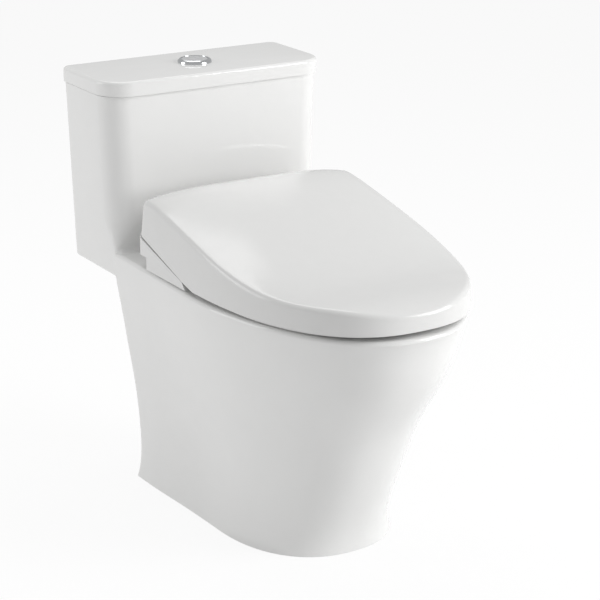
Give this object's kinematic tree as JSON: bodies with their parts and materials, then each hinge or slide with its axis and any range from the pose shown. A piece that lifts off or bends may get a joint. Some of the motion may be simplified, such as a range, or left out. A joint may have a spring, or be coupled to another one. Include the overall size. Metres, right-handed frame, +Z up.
{
  "type": "smart toilet with heated seat",
  "caption": "One-piece skirted toilet with electronic seat unit: hinged lid and heated seat, sliding spray wand, lift-off tank lid, dual flush buttons, flush and fill valves.",
  "frame": {"origin": "centre of the footprint on the floor", "axes": "+X across (the part is near enough symmetric about X = 0), -Y towards the bowl's nose, +Z up"},
  "size_m": [0.385, 0.72, 0.658],
  "materials": {
    "glazed_ceramic": "opaque glazed vitreous china, high gloss",
    "soft_rubber": "matt moulded rubber",
    "chrome_plating": "bright plated",
    "fitting_plastic": "moulded",
    "white_gloss_plastic": "smooth gloss",
    "steel": "brushed",
    "water_brass": "machined",
    "circuit_board": "coated board",
    "heating_foil": "thin foil"
  },
  "bodies": {
    "toilet": {"tank_shell": "glazed_ceramic", "skirt_and_deck": "glazed_ceramic", "bowl_and_trap": "glazed_ceramic", "outlet_gasket": "soft_rubber", "fill_valve_body": "fitting_plastic", "fill_valve_gasket": "soft_rubber", "fill_valve_nut": "fitting_plastic", "fill_valve_cap": "fitting_plastic", "refill_tube": "fitting_plastic", "flush_valve_base": "fitting_plastic", "flush_valve_gasket": "soft_rubber", "flush_valve_cage": "fitting_plastic", "base_plate": "fitting_plastic", "mounting_bolt_left": "steel", "mounting_bolt_right": "steel", "bolt_bushing_left": "soft_rubber", "bolt_bushing_right": "soft_rubber", "wing_nut_left": "fitting_plastic", "wing_nut_right": "fitting_plastic"},
    "tank_lid": {"tank_lid": "glazed_ceramic", "lid_cushions": "soft_rubber", "button_bezel": "chrome_plating", "button_nut": "fitting_plastic"},
    "full_button": {"full_flush_button": "chrome_plating", "full_flush_rod": "fitting_plastic"},
    "half_button": {"half_flush_button": "chrome_plating", "half_flush_rod": "fitting_plastic"},
    "full_plunger": {"full_plunger": "fitting_plastic"},
    "half_plunger": {"half_plunger": "fitting_plastic"},
    "flush_stem": {"valve_stem": "fitting_plastic", "valve_seal": "soft_rubber"},
    "float": {"fill_valve_float": "fitting_plastic"},
    "seat_unit": {"unit_tray": "white_gloss_plastic", "unit_case": "white_gloss_plastic", "hinge_pin_left": "steel", "hinge_pin_right": "steel", "nozzle_guide": "fitting_plastic", "nozzle_motor": "steel", "water_heater": "fitting_plastic", "inlet_valve": "fitting_plastic", "dryer_fan": "fitting_plastic", "dryer_duct": "fitting_plastic", "deodorizer": "fitting_plastic", "control_board": "circuit_board", "water_inlet": "water_brass", "power_gland": "soft_rubber", "drain_plug": "fitting_plastic"},
    "wand": {"nozzle_wand": "white_gloss_plastic", "nozzle_tip": "white_gloss_plastic"},
    "release": {"release_button": "white_gloss_plastic"},
    "seat": {"seat_ring": "white_gloss_plastic", "seat_pan": "white_gloss_plastic", "seat_heater": "heating_foil", "seat_buffers": "soft_rubber"},
    "lid": {"lid_shell": "white_gloss_plastic", "lid_buffers": "soft_rubber"}
  },
  "joints": [
    {"name": "tank_lid_lift", "type": "slide", "parent": "toilet", "child": "tank_lid", "axis": [0, 0, 1], "range_m": [0, 0.15]},
    {"name": "full_flush_press", "type": "slide", "parent": "tank_lid", "child": "full_button", "axis": [0, 0, -1], "range_m": [0, 0.006], "stiffness_N_per_m": 600},
    {"name": "half_flush_press", "type": "slide", "parent": "tank_lid", "child": "half_button", "axis": [0, 0, -1], "range_m": [0, 0.006], "stiffness_N_per_m": 600},
    {"name": "full_plunger_push", "type": "slide", "parent": "toilet", "child": "full_plunger", "axis": [0, 0, -1], "range_m": [0, 0.006]},
    {"name": "half_plunger_push", "type": "slide", "parent": "toilet", "child": "half_plunger", "axis": [0, 0, -1], "range_m": [0, 0.006]},
    {"name": "flush_stem_lift", "type": "slide", "parent": "toilet", "child": "flush_stem", "axis": [0, 0, 1], "range_m": [0, 0.018]},
    {"name": "float_rise", "type": "slide", "parent": "toilet", "child": "float", "axis": [0, 0, 1], "range_m": [0, 0.055]},
    {"name": "unit_slide", "type": "slide", "parent": "toilet", "child": "seat_unit", "axis": [0, -1, 0], "range_m": [0, 0.05]},
    {"name": "wand_extend", "type": "slide", "parent": "seat_unit", "child": "wand", "axis": [0, -0.9063, -0.4226], "range_m": [0, 0.08]},
    {"name": "release_press", "type": "slide", "parent": "seat_unit", "child": "release", "axis": [-1, 0, 0], "range_m": [0, 0.003], "stiffness_N_per_m": 400},
    {"name": "seat_hinge", "type": "hinge", "parent": "seat_unit", "child": "seat", "pos_m": [0, 0.114, 0.464], "axis": [1, 0, 0], "range_deg": [-100, 0]},
    {"name": "lid_hinge", "type": "hinge", "parent": "seat", "child": "lid", "pos_m": [0, 0.114, 0.464], "axis": [-1, 0, 0], "range_deg": [0, 103]}
  ],
  "couplings": [
    {"joint": "full_plunger_push", "follows": "full_flush_press", "ratio": 1},
    {"joint": "half_plunger_push", "follows": "half_flush_press", "ratio": 1},
    {"joint": "flush_stem_lift", "follows": "full_flush_press", "ratio": 3}
  ]
}
